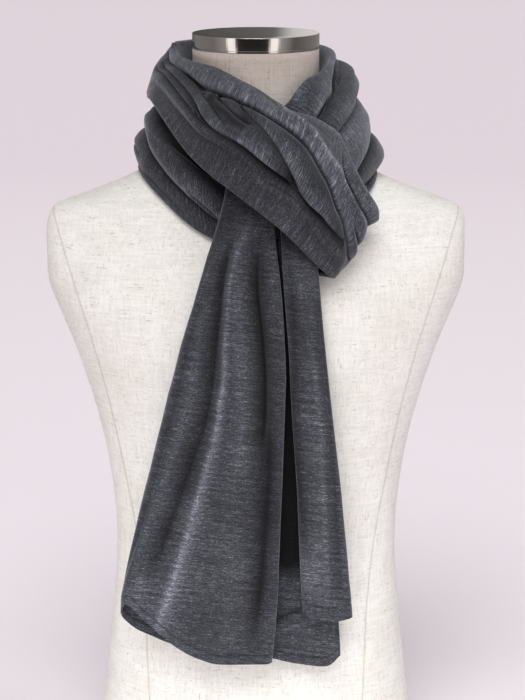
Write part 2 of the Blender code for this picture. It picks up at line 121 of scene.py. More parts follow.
LOWER_SECTIONS = tuple(Section(*row) for row in (
    (350, 372, (113, 613), (114, 606), (117, 598), (120, 584), (122, 566)),
    (368, 389, (113, 616), (114, 609), (119, 601), (123, 587), (124, 568)),
    (398, 407, (117, 622), (117, 615), (121, 607), (125, 592), (126, 570)),
    (409, 417, (95, 638), (102, 637), (115, 623), (124, 600), (124, 573)),
    (424, 430, (88, 651), (97, 650), (111, 634), (125, 606), (119, 578)),
    (450, 450, (82, 672), (90, 667), (105, 652), (127, 610), (117, 592)),
    (488, 488, (83, 677), (91, 669), (107, 653), (118, 622), (110, 600)),
    (520, 520, (84, 678), (92, 670), (108, 654), (116, 620), (107, 596)),
    (555, 555, (84, 678), (92, 670), (108, 654), (116, 620), (107, 596)),
    (590, 590, (84, 678), (92, 670), (108, 654), (119, 620), (110, 598)),
    (628, 628, (80, 676), (89, 669), (107, 651), (124, 618), (114, 598)),
    (648, 648, (80, 670), (90, 661), (110, 638), (120, 604), (111, 580)),
    (662, 662, (85, 654), (95, 644), (112, 616), (114, 586), (102, 562)),
    (682, 682, (90, 634), (100, 625), (112, 598), (111, 570), (98, 544)),
    (700, 700, (89, 612), (97, 609), (106, 586), (106, 556), (96, 532)),
    (720, 719, (84, 590), (90, 592), (95, 574), (98, 546), (97, 522)),
    (741, 736, (92, 583), (94, 576), (99, 560), (103, 534), (105, 510)),
    (761.2, 745.2, (109, 566), (109, 560), (110, 547), (113, 522), (114, 503)),
))


class Crease(NamedTuple):
    """A crease pressed into a sheet.

    Its depth is negative for a ridge. The cloth runs down to it steeply from the upper side and gently from
    the lower one, and the upper lip leans over it. It fades in and out over some rows of the sheet's table.
    It lies at fractional rows, each with a share of the width in percent. Its shade is how much painted shade
    the wool gets in it, or painted highlight on a ridge, and comes from its depth where none is given.
    """

    depth: float
    steep: float
    gentle: float
    lean: float
    fade: float
    rows: tuple[float, ...]
    shares: tuple[int, ...]
    shade: float | None = None


# A crease's shade is painted into the wool. Entries a millimetre deep or less with long runs press next to
# nothing and are mostly painted shade, or painted highlight where the depth is negative.
BAND_CREASES = tuple(Crease(*row) for row in (
    (
        14, 2.2, 9, 5, 1.5, (11.6, 13.1, 13.9, 14.5, 15, 15.5, 16.4, 17, 17.4, 18.2, 18.9, 20, 20.5, 21, 21.9,
        23.4), (43, 44, 44, 39, 35, 33, 31, 31, 33, 39, 45, 49, 53, 59, 68, 75), 1.5,
    ),
    (
        11, 2.0, 8, 4, 0.7, (15.2, 15.9, 16.4, 16.9, 17.3, 17.8, 18.3, 18.8, 19.4, 20.2, 21.2), (36, 43, 47,
        51, 57, 65, 70, 73, 71, 68, 66), 1.35,
    ),
    (13, 2.5, 9, 4, 0.5, (14.2, 14.7, 15.1, 15.5, 16.2), (42, 43, 45, 48, 51), 2.0),
    (8, 2, 4, 3, 0.6, (10.3, 12.4, 13.5, 14.3, 14.9, 15.6), (40, 47, 49, 52, 56, 64)),
    (8, 2, 4, 3, 0.7, (10.6, 12.3, 13.1, 13.7, 14.3, 14.9, 15.7), (48, 58, 60, 61, 63, 66, 68), 1.4),
    (7, 2, 4, 3, 0.7, (10.7, 12.4, 13.2, 13.9, 14.5, 15.1, 15.7), (59, 68, 70, 71, 71, 70, 69), 1.4),
    (13, 2.2, 11, 4, 1.2, (13.8, 14.7, 15.5, 16.3, 17, 17.8, 18.8), (63, 66, 68, 69, 70, 70, 71), 1.3),
    (-1.5, 4, 4, 0, 1.0, (11.4, 13.3, 14.9, 16, 17.2), (78, 77, 76, 75, 75), 0.5),
    (5, 4, 13, 0, 1.4, (11.4, 12.3, 13.6, 14.7, 15.6, 16.6, 17.8), (86, 85, 84, 82, 79, 79, 80), 0.65),
    (4, 6, 9, 0, 1.0, (16.2, 18, 20, 21.8), (88, 85, 86, 88), 0.4),
    (0.5, 26, 5, 0, 1.2, (13.4, 16, 19, 21.8), (84, 86, 88, 88), 0.35),
    (6, 4, 8, 1, 1.0, (16.6, 18.1, 19.6, 21), (84, 79, 80, 82), 0.4),
    (-4, 2.5, 3, 0, 0.8, (16.3, 17.2, 17.9, 18.9, 19.8, 20.6, 22), (12, 18, 26, 33, 31, 29, 33), 1.0),
    (6, 2, 5, 1, 0.6, (19.2, 20.6, 22, 23.8), (17, 21, 23, 27)),
    (0.5, 7, 7, 0, 1.2, (8.4, 11, 12.4, 13.6), (0, 1, 2, 0), 1.1),
    (6, 2, 5, 1, 0.8, (20.9, 22, 23.6), (46, 50, 55)),
    (-0.5, 2, 4, 0, 1.0, (14.5, 17, 20, 23, 25.5), (2, 1, 1, 2, 2), 1.0),
))
UPPER_RIGHT_CREASES = tuple(Crease(*row) for row in (
    (14, 2.2, 7, 5, 1.0, (1.0, 2.4, 3.1, 3.8, 4.4, 5.2, 7.8), (62, 64, 64, 59, 47, 40, 46), 1.35),
    (
        12, 2.2, 6, 5, 1.0, (1.2, 2.5, 3.1, 3.7, 4.2, 4.8, 5.8, 8.6), (73, 72, 70, 66, 59, 54, 57, 66), 1.35,
    ),
    (4, 1.5, 3, 1, 0.4, (3.6, 4.2, 4.7, 5.2), (64, 55, 48, 47), 0.9),
    (4, 6, 9, 0, 0.8, (1.2, 2.6, 3.8), (38, 34, 30), 0.3),
    (6, 3, 9, 1, 1.0, (4.8, 6, 8, 10), (80, 83, 84, 80)),
    (-0.1, 22, 22, 0, 1.0, (1.6, 3.4, 5, 8), (86, 86, 86, 86), 0.45),
))
LOWER_CREASES = tuple(Crease(*row) for row in (
    (
        16, 2.2, 13, 5, 1.2, (7.2, 9, 10.7, 11.4, 12, 12.6, 13.2, 14, 15.2), (50, 50, 53, 58, 59, 64, 71, 81,
        88),
    ),
    (
        13, 3, 12, 0, 0.8, (8.4, 9.9, 10.6, 11.3, 12.1, 12.6, 13.1, 13.6, 14.1, 14.9), (20, 19, 20, 22, 23,
        25, 27, 29, 35, 44), 1.25,
    ),
    (-2, 2, 4, 0, 0.5, (10.8, 11.4, 12.3, 12.9, 13.6), (44, 41, 36, 33, 33), 0.7),
    (7, 2, 7, 2, 0.5, (11.8, 12.5, 13.3, 14.2), (37, 33, 33, 36)),
    (5, 2, 6, 1, 0.3, (13.1, 13.6, 14.2), (62, 68, 78)),
    (0.5, 30, 30, 0, 1.0, (13.4, 14.4, 15.4, 17), (2, 6, 10, 20), 0.8),
    (14, 2.2, 12, 5, 1.0, (1.2, 2.4, 3.1, 3.7, 4.3, 5.2, 7), (70, 70, 67, 60, 55, 52, 50)),
    (5, 2, 5, 1, 0.7, (1.6, 2.7, 3.5, 5), (88, 91, 92, 92)),
    (7, 4, 9, 1, 1.5, (5.2, 7, 9, 10.6), (30, 32, 34, 40)),
    (8, 3, 10, 2, 1.5, (4.8, 7, 9, 11.4), (74, 70, 72, 76)),
    (-0.1, 26, 26, 0, 1.0, (0.6, 3, 5, 8), (35, 35, 35, 35), 0.45),
))
LONG_TAIL_CREASES = tuple(Crease(*row) for row in (
    (
        -5, 2.5, 5, 0, 1.5, (0.4, 1.9, 3.1, 4.2, 5.4, 6.6, 7.8, 9.1, 10.5), (72, 66, 68, 71, 72, 71, 70, 68,
        65), 1.2,
    ),
    (6, 14, 4, 0, 1.5, (0.6, 2.0, 3.2, 4.8, 6.2, 7.7, 9.3), (62, 62, 65, 68, 67, 65, 62), 0.85),
    (10, 14, 6, 0, 1.6, (0.6, 2, 3.1, 4.3, 5.4, 6.4), (79, 80, 84, 87, 88, 88), 1.0),
    (3, 14, 7, 0, 1.6, (4.0, 5.4, 6.6, 8.2, 10), (87, 90, 91, 91, 90), 0.95),
    (-2, 6, 8, 0, 2.0, (0.6, 3.1, 5.2, 7.5, 10.5), (73, 76, 79, 83, 83), 0.3),
    (-2, 8, 6, 0, 1.5, (1.6, 3.3, 6.1, 8.9, 10.8), (58, 60, 61, 61, 59), 0.3),
    (5, 10, 10, 0, 1.5, (1.2, 3, 4.4, 6, 7.4, 9.6), (53, 54, 55, 56, 57, 55), 0.5),
    (1, 30, 30, 0, 0.9, (0.2, 2, 4.8, 6.1, 8.3), (20, 16, 9, 9, 12), 1.6),
    (2, 2, 5, 0, 0.1, (8.7, 8.8, 9.0, 9.4), (4, 8, 13, 20), 0.8),
    (-1.5, 2, 2, 0, 0.1, (8.95, 9.1, 9.25, 9.6), (2, 8, 12, 20), 0.6),
))
SHORT_TAIL_CREASES = tuple(Crease(*row) for row in (
    (3, 3, 7, 0, 1.0, (0.8, 2.3, 3.4, 4.5, 5.7, 6.9), (44, 44, 45, 48, 51, 53), 0.5),
    (-3, 9, 7, 0, 1.2, (0.4, 1.7, 2.7, 3.6, 4.6, 5.6, 6.9), (70, 67, 58, 56, 60, 63, 66), 0.6),
    (-0.1, 26, 26, 0, 1.5, (1.4, 3.0, 5.0, 7.0), (70, 70, 72, 74), 0.55),
    (1.5, 9, 6, 0, 1.4, (0.3, 1.2, 2.1, 3.1, 4.1, 6.2), (74, 76, 78, 82, 84, 83), 0.8),
))


class TailCut(NamedTuple):
    """A level cut of a tail: its rear layer's free edge, outer fold, rolled edge, and the layers' depths."""

    height: float
    free_x: float
    fold_x: float
    roll_x: float
    rear: float
    front: float


class Hem(NamedTuple):
    """Places across a hem, and its heights there."""

    x: tuple[float, ...]
    height: tuple[float, ...]


LONG_TAIL_CUTS = tuple(TailCut(*row) for row in (
    (590, 6, -26, 8, 99, 109),
    (560, 12, -33, 17, 101, 113),
    (520, 22, -46, 21, 104, 118),
    (470, 32, -61, 26, 109.4, 125),
    (435, 38, -72, 28, 110.9, 129),
    (390, 45, -84, 28, 111, 131),
    (317, 57, -102, 26, 111, 132),
    (260, 66, -116, 24, 111, 132),
    (210, 73, -127, 23, 111, 132),
    (165, 80, -130, 20, 111, 132),
    (110, 83, -131, 14, 111, 132),
))
LONG_REAR_HEM = Hem(
    (-131, -124, -112, -98, -84, -60, 17, 36, 66, 76, 84),
    (178, 165, 155, 149, 142, 136, 126, 121, 117, 119, 134),
)
LONG_FRONT_HEM = Hem(
    (-131, -122, -112, -100, -84, -66, -44, 8, 16),
    (190, 178, 169, 160, 146, 135, 127, 126, 129),
)

SHORT_TAIL_CUTS = tuple(TailCut(*row) for row in (
    (563.5, 26, 50, 19, 104, 114),
    (540, 30, 54, 23, 107, 118),
    (495, 33, 60, 26, 111, 122),
    (435, 38, 65.5, 30.5, 116, 128),
    (364, 42, 73, 34, 117, 129),
    (296, 47, 81, 39, 117, 129),
    (207, 52, 89.5, 43.5, 117, 129),
    (160, 55, 94, 46.5, 117, 129),
))
SHORT_REAR_HEM = Hem((46, 62, 94), (178, 173, 171))
SHORT_FRONT_HEM = Hem((46, 52, 62, 78, 94), (180, 171, 169, 168, 172))


RANGE = ("From Min", "From Max", "To Min", "To Max")
WHITE = "#FFFFFF"


def linear(code: str) -> tuple[float, float, float, float]:
    """Turns an sRGB hex colour into linear red, green, blue and alpha.

    Args:
        code: the colour, such as "#5A6068".

    Returns:
        The four linear values.
    """
    values = [int(code[k : k + 2], 16) / 255 for k in (1, 3, 5)]
    flat = [v / 12.92 if v <= 0.04045 else ((v + 0.055) / 1.055) ** 2.4 for v in values]
    return (flat[0], flat[1], flat[2], 1.0)


def add_node(
    tree: NodeTree,
    kind: str,
    settings: dict[str | int, object] | None = None,
    links: dict[str | int, Node | NodeSocket] | None = None,
) -> Node:
    """Adds a node with its settings and links.

    Args:
        tree: the material's node tree.
        kind: the node's type name, without "ShaderNode".
        settings: values by property name, or by an input socket's name or number. A ramp's stops are places
            from 0 to 1, each with an sRGB hex colour or a linear one.
        links: what feeds each input, by its name or number. A node stands for its first output.

    Returns:
        The new node.
    """
    made = tree.nodes.new("ShaderNode" + kind)
    for key, value in (settings or {}).items():
        if key == "stops":
            elements = made.color_ramp.elements
            while len(elements) < len(value):
                elements.new(0.5)
            for element, (place, colour) in zip(elements, value):
                element.position = place
                element.color = linear(colour) if isinstance(colour, str) else colour
        elif isinstance(key, int) or key in made.inputs:
            made.inputs[key].default_value = value
        else:
            setattr(made, key, value)
    for key, source in (links or {}).items():
        socket = source.outputs[0] if isinstance(source, Node) else source
        tree.links.new(socket, made.inputs[key])
    return made


@dataclass(frozen=True)
class Finish:
    """A material. Its colours are sRGB hex values."""

    name: str = ""

    def surface(self, tree: NodeTree, where: NodeSocket) -> Node:
        """Makes the shader.

        Args:
            tree: the material's node tree.
            where: the place on the object, in metres.

        Returns:
            The shader's node.
        """
        raise NotImplementedError

    def build(self) -> Material:
        """Makes the material."""
        made = bpy.data.materials.new(self.name)
        made.use_nodes = True
        tree = made.node_tree
        tree.nodes.clear()
        where = add_node(tree, "TexCoord").outputs["Object"]
        add_node(tree, "OutputMaterial", links={"Surface": self.surface(tree, where)})
        return made


@dataclass(frozen=True)
class HeatherWool(Finish):
    """Merino jersey spun from mixed fleece: matt, with pale and dark slubs that lie across the cloth.

    The yarn is about 0.3 mm and can't show at this distance, so a slub is drawn a little coarser.

    Attributes:
        tones: the fleece's colours, from the darkest, by the sum of the patterns.
        streaks_mm: how wide and long the slubs, the flecks and the soft stripes are.
        cloud_mm: the size of the unevenness of the dye.
        weights: how much each of these four adds to the tone.
        painted_highlight_gain: how much brighter the wool is painted on a lip, as a painted highlight.
        painted_shade_gain: how much of the colour the painted shade leaves at the bottom of a crease.
    """

    name: str = "heather_wool_jersey"
    tones: tuple[tuple[float, str], ...] = (
        (0.34, "#1C1E22"), (0.45, "#303237"), (0.55, "#43454B"), (0.71, "#82858B"),
    )
    streaks_mm: tuple[tuple[float, float], ...] = ((0.7, 8.0), (0.6, 2.2), (2.6, 45.0))
    cloud_mm: float = 55.0
    weights: tuple[float, ...] = (0.34, 0.39, 0.18, 0.09)
    nap_mm: float = 0.35
    painted_highlight_gain: float = 3.0
    painted_shade_gain: float = 0.05

    def surface(self, tree: NodeTree, where: NodeSocket) -> Node:
        """Makes the shader."""
        uv = add_node(tree, "UVMap", {"uv_map": "cloth"})
        patterns = []
        for number, (wide, long) in enumerate(self.streaks_mm):
            scale = (1 / (wide * MM), 1 / (long * MM), 1.0)
            shift = (3.7 * number, 9.1 * number, 0.0)
            place = add_node(tree, "Mapping", {"Scale": scale, "Location": shift}, {"Vector": uv})
            fibres = {"noise_dimensions": "2D", "Scale": 1.0, "Detail": 1.5, "Roughness": 0.55}
            patterns.append(add_node(tree, "TexNoise", fibres, {"Vector": place}))
        cloud = {"Scale": 1 / (self.cloud_mm * MM), "Detail": 1.0}
        patterns.append(add_node(tree, "TexNoise", cloud, {"Vector": where}))
        total = None
        for weight, pattern in zip(self.weights, patterns):
            links = {0: pattern} if total is None else {0: pattern, 2: total}
            total = add_node(tree, "Math", {"operation": "MULTIPLY_ADD", 1: weight, 2: 0.0}, links)
        colour = add_node(tree, "ValToRGB", {"stops": self.tones}, {"Fac": total})
        # The painted shade and painted highlight of the creases, read from the cloth's attribute, scale the
        # colour.
        hollow = add_node(tree, "Attribute", {"attribute_name": "hollow"}).outputs["Fac"]
        painted_lip_highlight, deep = (
            add_node(tree, "MapRange", dict(zip(RANGE, values)), {"Value": hollow})
            for values in ((-1.0, 0.0, self.painted_highlight_gain, 1.0), (0.0, 1.0, 1.0, self.painted_shade_gain))
        )
        gain = add_node(tree, "Math", {"operation": "MULTIPLY"}, {0: painted_lip_highlight, 1: deep})
        colour = add_node(tree, "VectorMath", {"operation": "SCALE"}, {0: colour, "Scale": gain})
        bump = add_node(tree, "Bump", {"Strength": 0.6, "Distance": self.nap_mm * MM}, {"Height": total})
        matt = {"Roughness": 0.92, "IOR": 1.45, "Specular IOR Level": 0.25}
        sheen = {"Sheen Weight": 0.45, "Sheen Roughness": 0.45, "Sheen Tint": linear("#D9DDE6")}
        return add_node(tree, "BsdfPrincipled", matt | sheen, {"Base Color": colour, "Normal": bump})


@dataclass(frozen=True)
class SlubLinen(Finish):
    """Unbleached linen stretched over foam: off-white, with sparse tan slubs along both threads.

    Attributes:
        warm: the ground's warmer patches.
        slub_mm: how wide and long a slub is. The thread is finer than a pixel, so slubs are drawn coarser.
        slub_range: the noise at which a slub starts and is whole, and how much of its colour it then has.
        yarn_mm: how wide and long the thick and thin stretches of yarn are.
        yarn_range: the noise and the tone at their darkest and their lightest.
        neck_painted_shade: the tint of the painted shade on the neck, which grows towards the top between
        the heights of neck_painted_shade_z.
        seam_mm: how far from its line the panels' seam is whole, and where it ends.
        seam_places: heights, and the seam's distance from the middle there.
    """

    name: str = "slub_linen"
    ground: str = "#EAE8E3"
    warm: str = "#E2DFD7"
    slub: str = "#9A968A"
    slub_mm: tuple[float, float] = (1.0, 7.0)
    slub_range: tuple[float, ...] = (0.64, 0.80, 0.0, 0.65)
    yarn_mm: tuple[float, float] = (2.4, 24.0)
    yarn_range: tuple[float, ...] = (0.8, 1.2, 0.93, 1.03)
    weave_mm: float = 1.1
    weave_rise_mm: float = 0.4
    neck_painted_shade: str = "#C6BBB5"
    neck_painted_shade_z: tuple[float, float] = (0.60, 0.705)
    seam: str = "#E8E5DF"
    seam_mm: tuple[float, float] = (0.4, 1.3)
    seam_top: float = 0.60
    seam_reach: float = 0.22
    seam_places: tuple[tuple[float, float], ...] = (
        (0.0, 0.102), (0.08, 0.106), (0.193, 0.112), (0.305, 0.130), (0.40, 0.150), (0.482, 0.174),
        (0.60, 0.215),
    )

    def seam_line(self, tree: NodeTree, place: Node) -> Node:
        """Draws the seam between the front panel and each side panel.

        Args:
            tree: the material's node tree.
            place: the place on the form, as a node with X and Z.

        Returns:
            A node that gives 1 on the seam and 0 off it.
        """
        height = add_node(tree, "MapRange", {"From Max": self.seam_top}, {"Value": place.outputs["Z"]})
        curve = add_node(tree, "FloatCurve", links={"Value": height})
        points = curve.mapping.curves[0].points
        while len(points) < len(self.seam_places):
            points.new(0.5, 0.5)
        for point, (z, x) in zip(points, self.seam_places):
            point.location = (z / self.seam_top, x / self.seam_reach)
        curve.mapping.update()
        side = add_node(tree, "Math", {"operation": "ABSOLUTE"}, {0: place.outputs["X"]})
        less = {"operation": "MULTIPLY_ADD", 1: -self.seam_reach}
        gap = add_node(tree, "Math", less, {0: curve, 2: side})
        far = add_node(tree, "Math", {"operation": "ABSOLUTE"}, {0: gap})
        near, edge = (value * MM for value in self.seam_mm)
        return add_node(tree, "MapRange", dict(zip(RANGE, (near, edge, 1.0, 0.0))), {"Value": far})

    def surface(self, tree: NodeTree, where: NodeSocket) -> Node:
        """Makes the shader."""
        cloud = add_node(tree, "TexNoise", {"Scale": 14.0, "Detail": 2.0}, {"Vector": where})
        patches = {"stops": ((0.35, self.ground), (0.70, self.warm))}
        colour = add_node(tree, "ValToRGB", patches, {"Fac": cloud})
        threads = []
        for size in (self.yarn_mm, self.slub_mm):
            thin, long = (1 / (value * MM) for value in size)
            for scale in ((long, long, thin), (thin, thin, long)):
                place = add_node(tree, "Mapping", {"Scale": scale}, {"Vector": where})
                threads.append(add_node(tree, "TexNoise", {"Scale": 1.0, "Detail": 1.0}, {"Vector": place}))
        yarns = add_node(tree, "Math", {"operation": "ADD"}, {0: threads[0], 1: threads[1]})
        tone = add_node(tree, "MapRange", dict(zip(RANGE, self.yarn_range)), {"Value": yarns})
        colour = add_node(tree, "VectorMath", {"operation": "SCALE"}, {0: colour, "Scale": tone})
        for slub in threads[2:]:
            keep = add_node(tree, "MapRange", dict(zip(RANGE, self.slub_range)), {"Value": slub})
            tan = {"data_type": "RGBA", 7: linear(self.slub)}
            colour = add_node(tree, "Mix", tan, {0: keep, 6: colour}).outputs[2]
        place = add_node(tree, "SeparateXYZ", links={"Vector": where})
        # Painted shade on the neck, which grows towards the top.
        neck = add_node(tree, "MapRange", dict(zip(RANGE, self.neck_painted_shade_z)), {"Value": place.outputs["Z"]})
        for share, tint in ((neck, self.neck_painted_shade), (self.seam_line(tree, place), self.seam)):
            dim = add_node(tree, "ValToRGB", {"stops": ((0.0, WHITE), (1.0, tint))}, {"Fac": share})
            colour = add_node(tree, "VectorMath", {"operation": "MULTIPLY"}, {0: colour, 1: dim})
        fine = {"Scale": 1 / (self.weave_mm * MM), "Detail": 2.0}
        weave = add_node(tree, "TexNoise", fine, {"Vector": where})
        rise = {"Strength": 0.35, "Distance": self.weave_rise_mm * MM}
        bump = add_node(tree, "Bump", rise, {"Height": weave})
        matt = {"Roughness": 0.88, "IOR": 1.5, "Specular IOR Level": 0.3, "Sheen Weight": 0.08}
        return add_node(tree, "BsdfPrincipled", matt, {"Base Color": colour, "Normal": bump})


@dataclass(frozen=True)
class PolishedSteel(Finish):
    """Turned stainless steel, polished: it mirrors the room, and faint turning lines soften the mirroring.

    Attributes:
        line_mm: the turning lines' spacing.
        line_range: the noise and the roughness between the lines and on them.
    """

    name: str = "polished_stainless_steel"
    colour: str = "#D3D0CB"
    line_mm: float = 0.25
    line_range: tuple[float, ...] = (0.3, 0.7, 0.08, 0.17)

    def surface(self, tree: NodeTree, where: NodeSocket) -> Node:
        """Makes the shader."""
        scale = (6.0, 6.0, 1 / (self.line_mm * MM))
        place = add_node(tree, "Mapping", {"Scale": scale}, {"Vector": where})
        lines = add_node(tree, "TexNoise", {"Scale": 1.0, "Detail": 2.0}, {"Vector": place})
        rough = add_node(tree, "MapRange", dict(zip(RANGE, self.line_range)), {"Value": lines})
        bright = {"Base Color": linear(self.colour), "Metallic": 1.0}
        return add_node(tree, "BsdfPrincipled", bright, {"Roughness": rough})


@dataclass(frozen=True)
class PaleWall(Finish):
    """Matt emulsion paint, for the floor that the form stands on, brightest round its foot: a painted pool of
    light.
    """

    name: str = "pale_emulsion"
    near: str = "#FAF3F8"
    far: str = "#EEE4EA"
    fade_m: tuple[float, float] = (1.0, 7.0)

    def surface(self, tree: NodeTree, where: NodeSocket) -> Node:
        """Makes the shader."""
        distance = add_node(tree, "VectorMath", {"operation": "LENGTH"}, {0: where}).outputs["Value"]
        # A painted pool of light: brightest round the form's foot, darker farther off.
        share = add_node(tree, "MapRange", dict(zip(RANGE, self.fade_m)), {"Value": distance})
        colour = add_node(tree, "ValToRGB", {"stops": ((0.0, self.near), (1.0, self.far))}, {"Fac": share})
        return add_node(tree, "BsdfPrincipled", {"Roughness": 0.95}, {"Base Color": colour})


@dataclass(frozen=True)
class RoomReflection(Finish):
    """What polished steel mirrors in a studio: a dark camera side between two bright strips.

    Attributes:
        tint: red, green and blue at full brightness.
        stops: azimuths in degrees, 0 at the front, with their brightness.
    """

    name: str = "studio_reflection"
    tint: tuple[float, float, float] = (1.0, 0.94, 0.92)
    stops: tuple[tuple[float, float], ...] = (
        (-180, 0.12), (-172, 0.07), (-130, 0.24), (-80, 0.20), (-64, 0.30), (-53, 0.34), (-51, 1.4),
        (-37, 1.4), (-35, 0.02), (24, 0.02), (26, 1.4), (40, 1.4), (42, 0.42), (54, 0.30), (72, 0.12),
        (110, 0.20), (168, 0.30), (173, 0.75), (177, 0.70), (178.4, 0.14), (180, 0.12),
    )

    def surface(self, tree: NodeTree, where: NodeSocket) -> Node:
        """Makes the shader."""
        place = add_node(tree, "SeparateXYZ", links={"Vector": where}).outputs
        back = add_node(tree, "Math", {"operation": "MULTIPLY", 1: -1.0}, {0: place["Y"]})
        turn = add_node(tree, "Math", {"operation": "ARCTAN2"}, {0: place["X"], 1: back})
        share = add_node(tree, "MapRange", dict(zip(RANGE, (-math.pi, math.pi))), {"Value": turn})
        stops = [
            ((azimuth + 180) / 360, (*(bright * part for part in self.tint), 1.0))
            for azimuth, bright in self.stops
        ]
        room = add_node(tree, "ValToRGB", {"stops": stops}, {"Fac": share})
        return add_node(tree, "Emission", links={"Color": room})


def unit(vectors: np.ndarray) -> np.ndarray:
    """Vectors at unit length."""
    return vectors / np.maximum(np.linalg.norm(vectors, axis=2, keepdims=True), 1e-9)


@dataclass
class Sheet:
    """A sheet of cloth as a grid of points.

    Attributes:
        points: rows x columns x 3, in millimetres.
        steps: each row's place in its table, as a fractional row number.
        flat: rows x columns x 2, the place of each point on the flat cloth, in millimetres.
        hollow: rows x columns, painted shade 1 at a crease's bottom, highlight -1 on a lip.
    """

    points: np.ndarray
    steps: np.ndarray
    flat: np.ndarray
    hollow: np.ndarray

    @property
    def widths(self) -> np.ndarray:
        """The width of the cloth at each row."""
        return self.flat[:, -1, 1] - self.flat[:, 0, 1]

    def normals(self) -> np.ndarray:
        """Unit normals at each point, pointing away from the form on a wrap."""
        return unit(np.cross(np.gradient(self.points, axis=1), np.gradient(self.points, axis=0)))

    def tangents(self) -> np.ndarray:
        """Unit tangents across the cloth, from the first column to the last."""
        return unit(np.gradient(self.points, axis=1))


def spline(rows: list | tuple | np.ndarray, steps: np.ndarray) -> np.ndarray:
    """Reads a smooth curve through the rows of a table.

    Args:
        rows: the table, one entry a row.
        steps: fractional row numbers.

    Returns:
        The curve's values, one entry a step.
    """
    rows = np.asarray(rows, float)
    steps = np.clip(np.asarray(steps, float), 0, len(rows) - 1)
    index = np.minimum(steps.astype(int), len(rows) - 2)
    share = (steps - index).reshape(-1, *([1] * (rows.ndim - 1)))
    slopes = np.gradient(rows, axis=0)
    square, cube = share**2, share**3
    return (
        rows[index] * (2 * cube - 3 * square + 1)
        + slopes[index] * (cube - 2 * square + share)
        + rows[index + 1] * (3 * square - 2 * cube)
        + slopes[index + 1] * (cube - square)
    )


def even(line: np.ndarray, count: int) -> tuple[np.ndarray, float]:
    """Spaces points evenly along a fine polyline.

    Args:
        line: the polyline's points.
        count: the number of points wanted.

    Returns:
        The points and the polyline's length.
    """
    lengths = np.concatenate(([0.0], np.cumsum(np.linalg.norm(np.diff(line, axis=0), axis=1))))
    places = np.linspace(0, lengths[-1], count)
    return np.stack([np.interp(places, lengths, line[:, k]) for k in range(3)], axis=1), lengths[-1]


def noise(along: np.ndarray, across: np.ndarray, seed: int) -> np.ndarray:
    """Smooth noise from -1 to 1.

    Args:
        along: places on a lattice of unit pitch.
        across: the same, the other way.
        seed: chooses the lattice.

    Returns:
        The noise at each place.
    """
    size = LATTICE_SIZE
    lattice = np.random.default_rng(seed).uniform(-1, 1, (size, size))
    low_a, low_b = np.floor(along).astype(int), np.floor(across).astype(int)
    share_a, share_b = along - low_a, across - low_b
    share_a, share_b = share_a**2 * (3 - 2 * share_a), share_b**2 * (3 - 2 * share_b)
    corners = [lattice[(low_a + i) % size, (low_b + j) % size] for i in (0, 1) for j in (0, 1)]
    near = corners[0] * (1 - share_b) + corners[1] * share_b
    far = corners[2] * (1 - share_b) + corners[3] * share_b
    return near * (1 - share_a) + far * share_a


@dataclass(frozen=True)
class Ripple:
    """Slight unevenness of cloth that has been worn: long soft waves, with a height and two wavelengths."""

    height: float
    along: float
    across: float
    seed: int

    def heights(self, sheet: Sheet) -> np.ndarray:
        """The ripple's height at each point of a sheet, in millimetres."""
        along, across = sheet.flat[:, :, 0] / self.along, sheet.flat[:, :, 1] / self.across
        return self.height * noise(along + LATTICE_START, across + LATTICE_START, self.seed)


